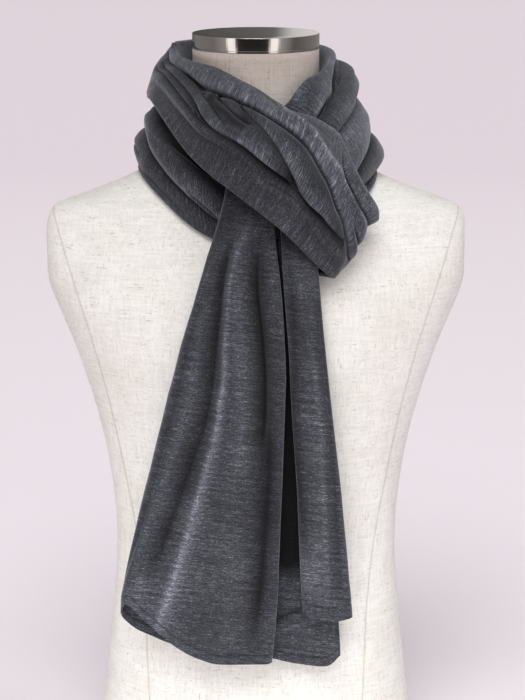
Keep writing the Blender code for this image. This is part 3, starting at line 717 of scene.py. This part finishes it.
@dataclass
class Cloth:
    """A length of the scarf: a creased sheet with a wall, which stands for one or more solids.

    Attributes:
        name: the piece's name.
        nodes: the solids that it stands for.
        creases: what is pressed into it.
        ripples: its unevenness.
        held: how the cloth is held; not used.
        side: 1 where the sheet's normals point to the cloth's outer face, or -1.
        roll: radius of the rolled lower edge, or 0 for a plain one.
        roll_turn: how far round the edge rolls, in radians.
        roll_columns: how many columns before the roll are blended into its smoother line.
        roll_spread: how far that line is smoothed, in rows.
        roll_share: the share of the width at which the room for the roll starts, and where it is whole.
        wall: the cloth's thickness.
        air: the gap between the cloth and the form, and the one kept before the edge is rolled.
        full_width: the width at which a crease has its whole depth.
        plain_edge: the share of the width at each edge over which creases die out.
        soft_bottom: how round a crease's bottom is.
        overhang: how much of a lip's lean its crease follows.
        lip_place: how far above its crease a lip stands, over the steep side's run.
        edge_ripple: the share of its height that a ripple keeps at an edge.
        tucked_painted_shade: the painted shade where other cloth lies over the sheet.
        full_depth: the depth of a crease whose painted shade is whole, as dark as where no light reaches.
        shade_run: how far a crease's painted shade reaches below it, over its slope's run.
        lip_run: the same above it, towards the lip.
        crest_light: how bright the painted highlight is on the cloth above a crease, next to its lip.
        crest_run: how far that painted highlight reaches.
        stitch_depth: how far the hem's stitches pull the cloth in.
        tucked: the row up to which other cloth lies over the sheet's start.
        fade_rows: rows over which the painted shade beneath that cloth fades.
    """

    name: str
    nodes: tuple[str, ...]
    creases: tuple[Crease, ...]
    ripples: tuple[Ripple, ...]
    held: str
    side: int = 1
    roll: float = 0.0
    roll_turn: float = math.radians(205)
    roll_columns: int = 12
    roll_spread: float = 6
    roll_share: tuple[float, float] = (0.85, 0.98)
    wall: float = 1.4
    air: tuple[float, float] = (0.3, 0.8)
    full_width: float = 95.0
    plain_edge: float = 0.05
    soft_bottom: float = 1.0
    overhang: float = 0.6
    lip_place: float = 1.3
    edge_ripple: float = 0.4
    tucked_painted_shade: float = 0.8
    full_depth: float = 9.0
    shade_run: float = 1.5
    lip_run: float = 0.6
    crest_light: float = 0.5
    crest_run: float = 12.0
    stitch_depth: float = 0.6
    tucked: float = 0.0
    fade_rows: float = 1.0

    def sheet(self) -> Sheet:
        """Lays the cloth out without creases."""
        raise NotImplementedError

    def crease(self, sheet: Sheet) -> None:
        """Presses the creases and ripples into a sheet, and paints shade into the creases and highlight on
        their lips.

        Args:
            sheet: the plain sheet, which is changed.
        """
        normal, tangent = sheet.normals() * self.side, sheet.tangents()
        widths = sheet.widths
        share = (sheet.flat[:, :, 1] - sheet.flat[:, :1, 1]) / widths[:, None]
        trough, ridge, shift, light = (np.zeros(share.shape) for _ in range(4))
        # Painted shade where other cloth lies over the sheet's start.
        tucked = np.clip((self.tucked - sheet.steps) / self.fade_rows, 0, self.tucked_painted_shade)
        dark = np.maximum(sheet.hollow, tucked[:, None])
        for fold in self.creases:
            path = np.column_stack([fold.rows, np.divide(fold.shares, 100)])
            rows, shares = spline(path, np.linspace(0, len(path) - 1, PATH_STEPS)).T
            place = np.interp(sheet.steps, rows, shares)
            fade_in = np.clip((sheet.steps - rows[0]) / fold.fade, 0, 1)
            fade_out = np.clip((rows[-1] - sheet.steps) / fold.fade, 0, 1)
            strength = np.sin(fade_in * math.pi / 2) * np.sin(fade_out * math.pi / 2)
            strength = (strength * np.minimum(1, widths / self.full_width))[:, None]
            distance = (share - place[:, None]) * widths[:, None] + self.overhang * fold.lean * strength
            run = np.where(distance < 0, fold.steep, fold.gentle)
            soft = np.sqrt(distance**2 + self.soft_bottom**2) - self.soft_bottom
            shape = fold.depth * strength * np.exp(-soft / run)
            trough = np.maximum(trough, shape)
            ridge = np.minimum(ridge, shape)
            lip = np.exp(-(((distance + self.lip_place * fold.steep) / fold.steep) ** 2))
            shift += fold.lean * strength * lip
            deep = min(1.0, abs(fold.depth) / self.full_depth)
            weight = strength * (deep if fold.shade is None else fold.shade)
            # Painted shade in a crease and just below it, and painted highlight on its lip and on the cloth
            # above; a ridge gets only painted highlight.
            if fold.depth > 0:
                reach = np.where(distance < 0, self.lip_run * run, self.shade_run * run)
                dark = np.maximum(dark, weight * np.exp(-soft / reach))
                crest = np.exp(-((np.minimum(distance, 0) / self.crest_run) ** 2)) * (distance < 0)
                crest = self.crest_light * crest
                light = np.maximum(light, deep * strength * np.maximum(lip, crest))
            else:
                light = np.maximum(light, weight * np.exp(-soft / run))
        edge = np.sin(np.clip(np.minimum(share, 1 - share) / self.plain_edge, 0, 1) * math.pi / 2)
        rise = sum((ripple.heights(sheet) for ripple in self.ripples), np.zeros(share.shape))
        trough += self.stitch_depth * sheet.hollow
        rise = rise * (self.edge_ripple + (1 - self.edge_ripple) * edge)
        sheet.points += normal * (rise - (trough + ridge) * edge)[:, :, None]
        sheet.points += tangent * (shift * edge)[:, :, None]
        # The painted shade and painted highlight go to the sheet, for the wool to scale its colour by.
        dark = np.minimum(dark, 1)
        sheet.hollow = dark - light * (1 - dark)

    def roll_edge(self, sheet: Sheet, steps: int = 9) -> Sheet:
        """Turns the last column of a sheet in on itself, as the edge of a folded jersey does.

        Args:
            sheet: the creased sheet.
            steps: columns that the roll adds.

        Returns:
            The sheet with its rolled edge.
        """
        if not self.roll:
            return sheet
        ends = (sheet.normals()[:, -1] * self.side, sheet.tangents()[:, -1], sheet.points[:, -1])
        normal, tangent, last = (smooth(values, self.roll_spread) for values in ends)
        blend = np.linspace(0, 1, self.roll_columns)[None, :, None] ** 2
        sheet.points[:, -self.roll_columns :] += blend * (last - sheet.points[:, -1])[:, None, :]
        centre = last - normal * self.roll
        points, flats = [sheet.points], [sheet.flat]
        for step in range(1, steps + 1):
            angle = self.roll_turn * step / steps
            ring = centre + self.roll * (normal * math.cos(angle) + tangent * math.sin(angle))
            points.append(ring[:, None, :])
            flat = sheet.flat[:, -1:].copy()
            flat[:, :, 1] += self.roll * angle
            flats.append(flat)
        # The roll keeps the painted shade and highlight of the sheet's last column.
        hollow = np.hstack([sheet.hollow, np.repeat(sheet.hollow[:, -1:], steps, axis=1)])
        return Sheet(np.concatenate(points, axis=1), sheet.steps, np.concatenate(flats, axis=1), hollow)

    def build(self, finish: Material, form: BVHTree) -> Object:
        """Args:
            finish: the cloth's material.
            form: the display form's surface, in millimetres, that the cloth stays clear of.

        Returns:
            The piece.
        """
        sheet = self.sheet()
        self.crease(sheet)
        start, whole = self.roll_share
        share = np.linspace(0, 1, sheet.points.shape[1])
        room = 2 * self.roll * np.clip((share - start) / (whole - start), 0, 1)
        lift(sheet, form, self.wall + self.air[1] + room)
        sheet = self.roll_edge(sheet)
        lift(sheet, form, np.full(sheet.points.shape[1], self.wall + self.air[0]))
        piece = mesh_of(self.name, sheet, finish)
        wall = piece.modifiers.new("wall", "SOLIDIFY")
        wall.thickness = self.wall * MM
        wall.offset = -self.side
        spans = (np.linalg.norm(np.diff(sheet.points, axis=k), axis=2).sum(axis=k) for k in (1, 0))
        width, length = (float(span.mean()) * MM for span in spans)
        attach(piece, BODY)
        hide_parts(*self.nodes)
        LOG.info("%s: %.0f x %.0f mm of cloth", self.name, width / MM, length / MM)
        return piece


def smooth(values: np.ndarray, spread: float) -> np.ndarray:
    """Evens values out along their first axis.

    Args:
        values: one entry a row.
        spread: the bell's width, in rows.

    Returns:
        The smoothed values.
    """
    reach = int(3 * spread)
    bell = np.exp(-0.5 * (np.arange(-reach, reach + 1) / spread) ** 2)
    padded = np.pad(values, [(reach, reach)] + [(0, 0)] * (values.ndim - 1), "edge")
    sums = [np.tensordot(bell / bell.sum(), padded[k : k + len(bell)], axes=1) for k in range(len(values))]
    return np.array(sums)


def lift(sheet: Sheet, beneath: BVHTree, clearance: np.ndarray) -> None:
    """Moves the points of a sheet out until they are clear of a surface.

    Args:
        sheet: the sheet, which is changed.
        beneath: the surface, with its normals towards the sheet.
        clearance: the least distance of each column, in millimetres.
    """
    flat = sheet.points.reshape(-1, 3)
    for number, point in enumerate(flat):
        hit, normal, _, _ = beneath.find_nearest(Vector(point), NEAR)
        if hit is None:
            continue
        height = (Vector(point) - hit).dot(normal)
        least = clearance[number % len(clearance)]
        if height < least:
            flat[number] = point + np.array(normal) * (least - height)


def linked(name: str, data: ID) -> Object:
    """Makes an object in the scene from its data."""
    made = bpy.data.objects.new(name, data)
    bpy.context.scene.collection.objects.link(made)
    return made


def mesh_of(name: str, sheet: Sheet, finish: Material) -> Object:
    """Makes an object from a sheet, with its place on the flat cloth as a UV map in metres.

    Args:
        name: the object's name.
        sheet: the sheet.
        finish: its material.

    Returns:
        The object.
    """
    rows, columns = sheet.points.shape[:2]
    corner = (np.arange(rows - 1)[:, None] * columns + np.arange(columns - 1)[None, :]).ravel()
    quads = np.stack([corner, corner + 1, corner + columns + 1, corner + columns], axis=1)
    data = bpy.data.meshes.new(name)
    data.from_pydata((sheet.points.reshape(-1, 3) * MM).tolist(), [], quads.tolist())
    places = (sheet.flat.reshape(-1, 2) * MM)[quads.ravel()]
    data.uv_layers.new(name="cloth").data.foreach_set("uv", places.ravel())
    # The painted shade and highlight go on as a point attribute that the wool reads.
    hollow = data.attributes.new("hollow", "FLOAT", "POINT")
    hollow.data.foreach_set("value", sheet.hollow.ravel())
    data.shade_smooth()
    data.materials.append(finish)
    return linked(name, data)


class Run(NamedTuple):
    """Rows of a table that are meshed with an even spacing."""

    first: float
    last: float
    rows: int


@dataclass
class Wrap(Cloth):
    """A length that goes round the neck, laid through the sections of a table."""

    sections: tuple[Section, ...] = ()
    runs: tuple[Run, ...] = ()
    columns: int = 100
    fineness: int = 240

    def sheet(self) -> Sheet:
        """Lays the cloth out without creases."""
        steps = [np.linspace(run.first, run.last, run.rows, endpoint=False) for run in self.runs]
        steps = np.concatenate([*steps, [self.runs[-1].last]])
        profiles = spline([s[2:] for s in self.sections], steps)
        turns = spline([[s.az_top, s.az_low] for s in self.sections], steps)
        across = np.linspace(0, 4, self.fineness)
        slant = np.clip((across - 1) / 3, 0, 1)
        points = np.zeros((len(steps), self.columns, 3))
        flat = np.zeros((len(steps), self.columns, 2))
        for row, (profile, (top, low)) in enumerate(zip(profiles, turns)):
            radius, height = spline(profile, across).T
            azimuth = np.radians(top + (low - top) * slant)
            line = np.stack([radius * np.sin(azimuth), -radius * np.cos(azimuth), height], axis=1)
            points[row], width = even(line, self.columns)
            flat[row, :, 1] = np.linspace(-width / 2, width / 2, self.columns)
        middle = points[:, self.columns // 2]
        flat[1:, :, 0] = np.cumsum(np.linalg.norm(np.diff(middle, axis=0), axis=1))[:, None]
        return Sheet(points, steps, flat, np.zeros(points.shape[:2]))


def arc(x: float, y: float, radius: float, start: float, end: float, count: int) -> np.ndarray:
    """Points of a level arc.

    Args:
        x: its centre.
        y: its centre.
        radius: its radius.
        start: the first angle.
        end: the last angle.
        count: the number of points.

    Returns:
        The points, as rows of x and y.
    """
    angles = np.linspace(start, end, count)
    return np.stack([x + radius * np.cos(angles), y + radius * np.sin(angles)], axis=1)


@dataclass
class Tail(Cloth):
    """A hanging end: folded along its outer side, with its front edge rolled in.

    Attributes:
        cuts: its level cuts, from the top.
        rear_hem: the hem of the layer next to the form.
        front_hem: the hem of the front layer.
        hem_rows: rows in the lowest hem_depth of it, where the stitches are.
        stitch: the stitches' height above the hem.
        tuck: how far the rolled edge runs back under the front layer.
        askew: how much the wool's streaks slope.
        edge_share: the rolled edge's radius, as a share of the outer fold's.
        levels: level cuts that its shape is read at.
        hem_spread: how far the hem's corners are smoothed, in columns.
    """

    cuts: tuple[TailCut, ...] = ()
    rear_hem: Hem = Hem((), ())
    front_hem: Hem = Hem((), ())
    rows: int = 150
    columns: int = 120
    hem_rows: int = 30
    hem_depth: float = 20.0
    stitch: float = 9.0
    stitch_width: float = 0.8
    stitch_shade: float = 0.5
    lip_run: float = 1.5
    tuck: float = 7.0
    askew: float = 0.13
    edge_share: float = 0.42
    levels: int = 90
    hem_spread: float = 2.0

    def outline(self, cut: TailCut) -> np.ndarray:
        """The level outline of the tail: rear layer, outer fold, front layer and rolled edge."""
        rear, front = -cut.rear, -cut.front
        side = 1 if cut.fold_x > cut.free_x else -1
        bend = (rear - front) / 2
        roll = bend * self.edge_share
        quarter = math.pi / 2
        fold_x, edge_x = cut.fold_x - side * bend, cut.roll_x + side * roll
        fold = arc(fold_x, (rear + front) / 2, bend, quarter, quarter - side * math.pi, 24)
        edge = arc(edge_x, front + roll, roll, -quarter, -quarter - side * math.pi, 16)
        tucked = [[edge_x + side * self.tuck, front + 2 * roll]]
        return np.vstack([[[cut.free_x, rear]], fold, edge, tucked])

    def sheet(self) -> Sheet:
        """Lays the cloth out without creases."""
        heights = np.array([cut.height for cut in self.cuts], float)
        levels = np.linspace(heights[0], heights[-1], self.levels)
        places = np.interp(-levels, -heights, np.arange(len(heights)))
        outlines, widths = [], []
        for level, row in zip(levels, spline([cut[1:] for cut in self.cuts], places)):
            line = self.outline(TailCut(level, *row))
            solid = np.column_stack([line, np.full(len(line), level)])
            dense = [np.linspace(a, b, 12, endpoint=False) for a, b in zip(solid, solid[1:])]
            spaced, width = even(np.vstack([*dense, solid[-1:]]), self.columns)
            outlines.append(spaced)
            widths.append(width)
        outlines = np.array(outlines)
        middle = -(self.cuts[-1].rear + self.cuts[-1].front) / 2
        whole = heights[0] - min(self.front_hem.height)
        start = 1 - self.hem_depth / whole
        shares = np.concatenate(
            [np.linspace(0, start, self.rows, endpoint=False), np.linspace(start, 1, self.hem_rows)]
        )
        points = np.zeros((len(shares), self.columns, 3))
        bottoms = np.zeros(self.columns)
        for column, (x, y) in enumerate(outlines[-1, :, :2]):
            hem = self.rear_hem if y > middle else self.front_hem
            bottoms[column] = np.interp(x, hem.x, hem.height)
        bottoms = smooth(bottoms, self.hem_spread)
        for column, bottom in enumerate(bottoms):
            level = heights[0] + (bottom - heights[0]) * shares
            for k in (0, 1):
                points[:, column, k] = np.interp(-level, -levels, outlines[:, column, k])
            points[:, column, 2] = level
        flat = np.zeros((len(shares), self.columns, 2))
        width = np.linalg.norm(np.diff(points, axis=1), axis=2).sum(axis=1)
        flat[:, :, 1] = np.linspace(-0.5, 0.5, self.columns)[None, :] * width[:, None]
        flat[:, :, 0] = heights[0] - points[:, :, 2] - self.askew * points[:, :, 0]
        above = points[:, :, 2] - bottoms[None, :]
        # Painted shade along the hem's stitch line; the stitches also pull the cloth in along it.
        painted_stitch_shade = self.stitch_shade * np.exp(-(((above - self.stitch) / self.stitch_width) ** 2))
        return Sheet(points, shares * (len(self.cuts) - 1), flat, painted_stitch_shade)


def surface_of(piece: Object) -> BVHTree:
    """A piece's surface, in millimetres, to measure distances from."""
    data = piece.data
    faces = [tuple(face.vertices) for face in data.polygons]
    return BVHTree.FromPolygons([vertex.co / MM for vertex in data.vertices], faces)


def edit_faces(piece: Object, chosen: Callable[[float], bool]) -> None:
    """Starts editing a piece with some of its faces selected.

    Args:
        piece: the active object.
        chosen: says from the height of a face's unit normal whether it is selected.
    """
    bpy.ops.object.mode_set(mode="EDIT")
    bpy.ops.mesh.select_all(action="DESELECT")
    bpy.ops.object.mode_set(mode="OBJECT")
    for face in piece.data.polygons:
        face.select = chosen(face.normal.z)
    bpy.ops.object.mode_set(mode="EDIT")


@dataclass
class DisplayForm:
    """The limbless form: its solid's cage, rounded by subdivision, with a level underside.

    Attributes:
        crease_angle: the least angle that stays a sharp edge.
        merge: points nearer than this are one.
    """

    node: str = "dress_form"
    name: str = "linen_form"
    levels: int = 2
    crease_angle: float = math.radians(50)
    merge: float = 0.05

    def build(self, finish: Material) -> Object:
        """Makes the piece.

        Args:
            finish: the linen.

        Returns:
            The piece.
        """
        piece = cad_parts[self.node].copy()
        piece.data = piece.data.copy()
        piece.name = self.name
        for key in list(piece.keys()):
            del piece[key]
        piece.parent = None
        bpy.context.scene.collection.objects.link(piece)
        bpy.ops.object.select_all(action="DESELECT")
        piece.select_set(True)
        bpy.context.view_layer.objects.active = piece
        bpy.ops.object.mode_set(mode="EDIT")
        bpy.ops.mesh.select_all(action="SELECT")
        bpy.ops.mesh.remove_doubles(threshold=self.merge * MM)
        bpy.ops.mesh.tris_convert_to_quads()
        bpy.ops.mesh.select_all(action="DESELECT")
        bpy.ops.mesh.edges_select_sharp(sharpness=self.crease_angle)
        bpy.ops.transform.edge_crease(value=1.0)
        bpy.ops.object.mode_set(mode="OBJECT")
        rounded = piece.modifiers.new("rounded", "SUBSURF")
        rounded.levels = rounded.render_levels = self.levels
        bpy.ops.object.modifier_apply(modifier=rounded.name)
        piece.data.shade_smooth()
        bpy.ops.object.shade_smooth_by_angle(angle=self.crease_angle)
        piece.data.materials.clear()
        piece.data.materials.append(finish)
        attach(piece, BODY)
        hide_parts(self.node)
        LOG.info("%s: %d faces", piece.name, len(piece.data.polygons))
        return piece


@dataclass
class NeckCap:
    """The steel cap: a turned disc with rounded rims and a shadow groove beneath its band.

    Attributes:
        dome: how much the top rises to its middle, in insets that go as dome_steps.
        dome_inset: the middle one of these insets, as a share of the radius.
        base: the height of the groove's foot.
        tilt: how far the neck's cut leans back.
    """

    radius: float = 62.0
    height: float = 14.5
    groove: float = 1.4
    groove_depth: float = 2.5
    rim: float = 0.6
    dome: float = 1.0
    dome_steps: tuple[float, ...] = (0.35, 0.5, 0.6)
    dome_inset: float = 0.25
    base: float = 709.3
    tilt: float = math.radians(4.0)
    sides: int = 160
    smooth_angle: float = math.radians(35)

    def build(self, finish: Material) -> Object:
        """Makes the piece.

        Args:
            finish: the steel.

        Returns:
            The piece.
        """
        bpy.ops.object.select_all(action="DESELECT")
        band = (self.height - self.groove) * MM
        middle = (0, 0, self.groove * MM + band / 2)
        bpy.ops.mesh.primitive_cylinder_add(
            vertices=self.sides, radius=self.radius * MM, depth=band, location=middle
        )
        piece = bpy.context.active_object
        piece.name = "steel_cap"
        bpy.ops.object.transform_apply(location=True)
        edit_faces(piece, lambda up: abs(up) > 0.9)
        bpy.ops.mesh.bevel(offset=self.rim * MM, segments=3, affect="EDGES")
        edit_faces(piece, lambda up: up < -0.99)
        bpy.ops.mesh.inset(thickness=(self.groove_depth - self.rim) * MM)
        bpy.ops.mesh.extrude_region_move(TRANSFORM_OT_translate={"value": (0, 0, -self.groove * MM)})
        edit_faces(piece, lambda up: up > 0.99)
        for share in self.dome_steps:
            inset = self.radius * MM * self.dome_inset * share / self.dome_steps[1]
            bpy.ops.mesh.inset(thickness=inset)
            bpy.ops.transform.translate(value=(0, 0, self.dome * MM / len(self.dome_steps)))
        bpy.ops.object.mode_set(mode="OBJECT")
        piece.rotation_euler = (self.tilt, 0, 0)
        piece.location = (0, 0, self.base * MM)
        bpy.ops.object.transform_apply(location=True, rotation=True)
        bpy.ops.object.shade_smooth_by_angle(angle=self.smooth_angle)
        piece.data.materials.append(finish)
        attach(piece, BODY)
        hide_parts("neck_cap")
        LOG.info("%s: %d faces", piece.name, len(piece.data.polygons))
        return piece


Place = tuple[float, float, float]


@dataclass
class Studio:
    """The pale floor, the soft lights and the camera at the photograph's viewing angle.

    Attributes:
        suns: for each soft sun its name, the way it shines, how wide it looks and its strength.
        fill_place: where the low fill light stands, which is faint and aims at fill_target.
    """

    floor_size: float = 400.0
    camera_place: Place = (0.0065, -2.0, 0.76265)
    camera_pitch: float = math.radians(80.0)
    lens: float = 104.45
    sky: str = "#F6F0F4"
    sky_strength: float = 0.37
    suns: tuple[tuple[str, Place, float, float], ...] = (
        ("softbox", (0.06, 0.74, -0.82), math.radians(40.0), 2.0),
        ("window", (-0.80, 0.34, -0.52), math.radians(45.0), 0.45),
    )
    fill_place: Place = (-0.25, -1.0, 0.12)
    fill_target: Place = (-0.03, 0.0, 0.12)
    fill_size: tuple[float, float] = (1.2, 0.12)
    fill_spread: float = math.radians(60.0)
    fill_watts: float = 0.8
    card_radius: float = 1.2
    card_height: float = 1.8
    card_sides: int = 96

    def surroundings(self, floor_finish: Material, room: Material) -> None:
        """Makes the floor, and the card that only reflections see.

        Args:
            floor_finish: the floor's paint.
            room: the reflections of the room.
        """
        bpy.ops.object.select_all(action="DESELECT")
        bpy.ops.mesh.primitive_plane_add(size=self.floor_size)
        floor = bpy.context.active_object
        floor.name = "pale_floor"
        floor.data.materials.append(floor_finish)
        bpy.ops.mesh.primitive_cylinder_add(
            vertices=self.card_sides,
            radius=self.card_radius,
            depth=self.card_height,
            end_fill_type="NOTHING",
            location=(0, 0, self.card_height / 2),
        )
        card = bpy.context.active_object
        card.name = "studio_reflection_card"
        card.data.materials.append(room)
        card.visible_camera = card.visible_diffuse = False
        card.visible_shadow = card.visible_transmission = False

    def lights(self, filled: list[Object]) -> None:
        """Makes the lights and the sky.

        Args:
            filled: the pieces that the low fill light reaches, so that it leaves no glare on the floor.
        """
        for name, aim, angle, strength in self.suns:
            sun = bpy.data.lights.new(name, "SUN")
            sun.angle = angle
            sun.energy = strength
            holder = linked(name, sun)
            holder.rotation_euler = Vector(aim).to_track_quat("-Z", "Y").to_euler()
        fill = bpy.data.lights.new("low_fill", "AREA")
        fill.shape = "RECTANGLE"
        fill.size, fill.size_y = self.fill_size
        fill.energy = self.fill_watts
        fill.spread = self.fill_spread
        holder = linked("low_fill", fill)
        holder.visible_camera = holder.visible_glossy = False
        holder.location = self.fill_place
        aim = Vector(self.fill_target) - Vector(self.fill_place)
        holder.rotation_euler = aim.to_track_quat("-Z", "Y").to_euler()
        reached = bpy.data.collections.new("reached_by_low_fill")
        for piece in filled:
            reached.objects.link(piece)
        holder.light_linking.receiver_collection = reached
        world = bpy.data.worlds.new("soft_room")
        world.use_nodes = True
        backdrop = world.node_tree.nodes["Background"]
        backdrop.inputs["Color"].default_value = linear(self.sky)
        backdrop.inputs["Strength"].default_value = self.sky_strength
        bpy.context.scene.world = world

    def build(self) -> None:
        """Makes the camera and sets the scene's look."""
        scene = bpy.context.scene
        scene.view_settings.view_transform = "Standard"
        lens = bpy.data.cameras.new("camera")
        lens.lens = self.lens
        scene.camera = linked("camera", lens)
        scene.camera.location = self.camera_place
        scene.camera.rotation_euler = (self.camera_pitch, 0, 0)
        LOG.info("studio: softbox, sky, floor and camera")


def main() -> None:
    """Builds the form, its cap, the cloth and the studio, and notes the sizes."""
    logging.basicConfig(level=logging.INFO, format="%(name)s %(message)s")
    wool = HeatherWool().build()
    linen_form = DisplayForm().build(SlubLinen().build())
    form = surface_of(linen_form)
    NeckCap().build(PolishedSteel().build())
    wraps = (
        Wrap(
            "upper_wrap",
            ("upper_right", "upper_back", "front_band"),
            BAND_CREASES + UPPER_RIGHT_CREASES,
            (Ripple(0.8, 75, 11, 11), Ripple(0.35, 28, 6, 12)),
            "gathered",
            roll=2.6,
            tucked=2.6,
            sections=UPPER_SECTIONS,
            runs=(Run(0, 9, 80), Run(9, 12, 36), Run(12, 26, 172)),
            columns=156,
        ),
        Wrap(
            "lower_wrap",
            ("lower_right", "lower_back", "under_wrap"),
            LOWER_CREASES,
            (Ripple(0.9, 80, 12, 21), Ripple(0.35, 30, 6, 22)),
            "gathered",
            roll=2.6,
            tucked=2.2,
            sections=LOWER_SECTIONS,
            runs=(Run(0, 7, 96), Run(7, 10, 44), Run(10, 17, 150)),
            columns=140,
        ),
        Tail(
            "long_tail",
            ("tail_long",),
            LONG_TAIL_CREASES,
            (Ripple(1.2, 190, 30, 31), Ripple(0.25, 60, 9, 32)),
            "hung",
            side=-1,
            tucked=1.8,
            fade_rows=2.5,
            cuts=LONG_TAIL_CUTS,
            rear_hem=LONG_REAR_HEM,
            front_hem=LONG_FRONT_HEM,
            columns=180,
        ),
        Tail(
            "short_tail",
            ("tail_short",),
            SHORT_TAIL_CREASES,
            (Ripple(0.6, 190, 20, 41), Ripple(0.2, 60, 8, 42)),
            "hung",
            tucked=1.2,
            stitch=14.0,
            cuts=SHORT_TAIL_CUTS,
            rear_hem=SHORT_REAR_HEM,
            front_hem=SHORT_FRONT_HEM,
            columns=84,
        ),
    )
    scarf = [piece.build(wool, form) for piece in wraps]
    studio = Studio()
    studio.surroundings(PaleWall().build(), RoomReflection().build())
    studio.lights([linen_form, *scarf])
    studio.build()


if __name__ == "__main__":
    main()
